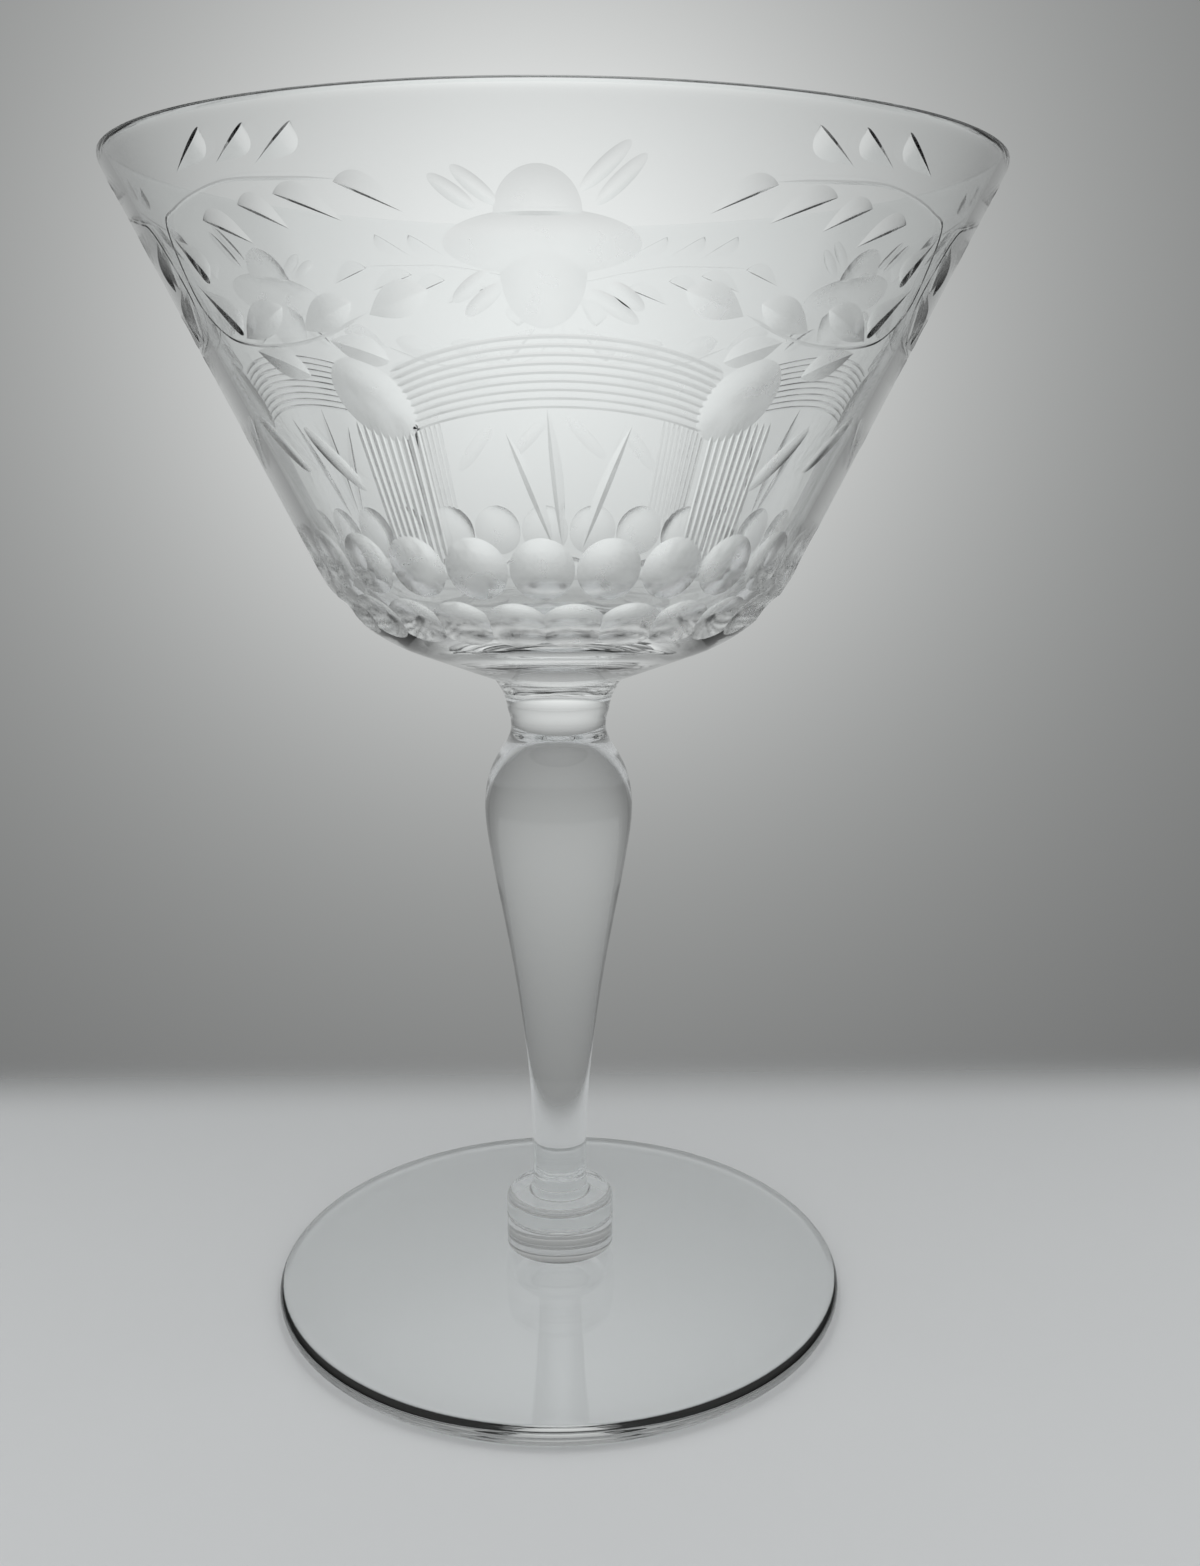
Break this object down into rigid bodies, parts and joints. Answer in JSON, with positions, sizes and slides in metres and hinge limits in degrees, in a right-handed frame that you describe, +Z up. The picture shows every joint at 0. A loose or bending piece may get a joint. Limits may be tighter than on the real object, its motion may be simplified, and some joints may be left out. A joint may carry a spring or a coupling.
{
  "type": "coupe glass",
  "caption": "Clear stemmed coupe glass with a flaring bowl, wheel-cut with blossoms, laurel sprays, lined arches and thumbprints, on a drop-shaped stem with a button collar and round foot.",
  "frame": {"origin": "on the table under the middle of the foot", "axes": "+Z up along the axis of the glass, -Y towards the middle of the front panel, +X to the viewer's right"},
  "size_m": [0.096, 0.096, 0.1331],
  "materials": {
    "clear_glass": "polished, with ground and mitre-cut ornament on the bowl"
  },
  "bodies": {
    "root": {"bowl": "clear_glass", "bowl_merese": "clear_glass", "stem": "clear_glass", "foot_merese": "clear_glass", "foot": "clear_glass"}
  },
  "joints": []
}
